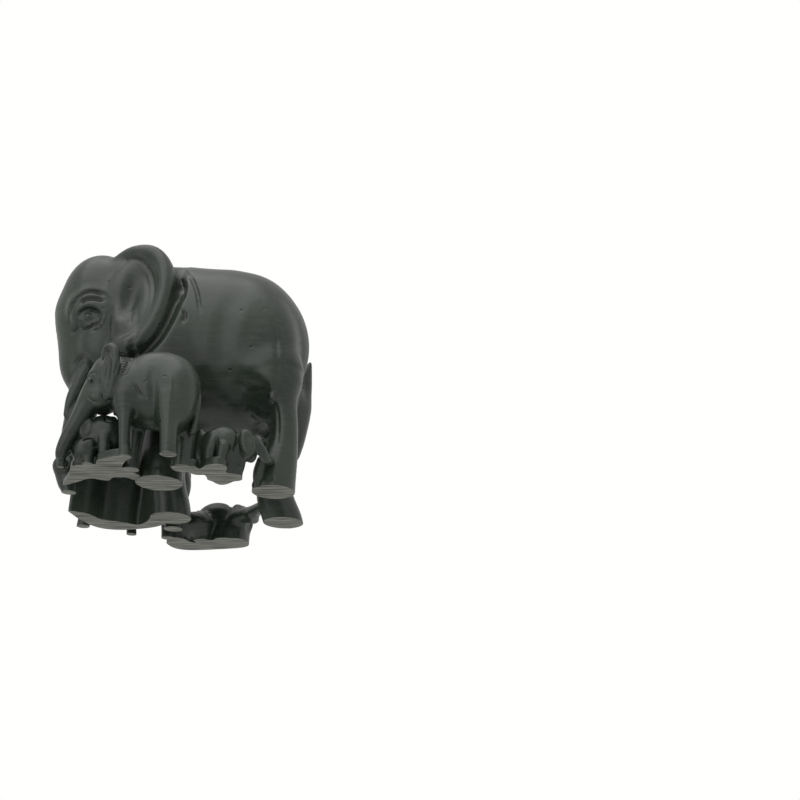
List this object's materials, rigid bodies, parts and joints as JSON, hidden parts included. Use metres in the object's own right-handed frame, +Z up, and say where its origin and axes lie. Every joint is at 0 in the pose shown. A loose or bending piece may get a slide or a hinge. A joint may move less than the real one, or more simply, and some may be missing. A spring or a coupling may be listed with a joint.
{
  "type": "carved wooden elephant",
  "caption": "Small carved family of elephants in dark polished wood: a mother with young and calves round her feet, cut off flat below to stand on a table or a stand.",
  "frame": {"origin": "middle of the group's footprint, on the plane of the sawn feet", "axes": "+Z up, the mother faces -X, +Y towards her right-hand side; the side with the young one and two calves is -Y"},
  "size_m": [0.1196, 0.1284, 0.116],
  "materials": {
    "dark_wood": "hand carved dark hardwood, waxed and polished, with flat sawn undersides left bare"
  },
  "bodies": {
    "root": {"mother": "dark_wood", "near_young": "dark_wood", "far_young": "dark_wood", "front_calf": "dark_wood", "hind_calf": "dark_wood", "far_calf": "dark_wood"}
  },
  "joints": []
}
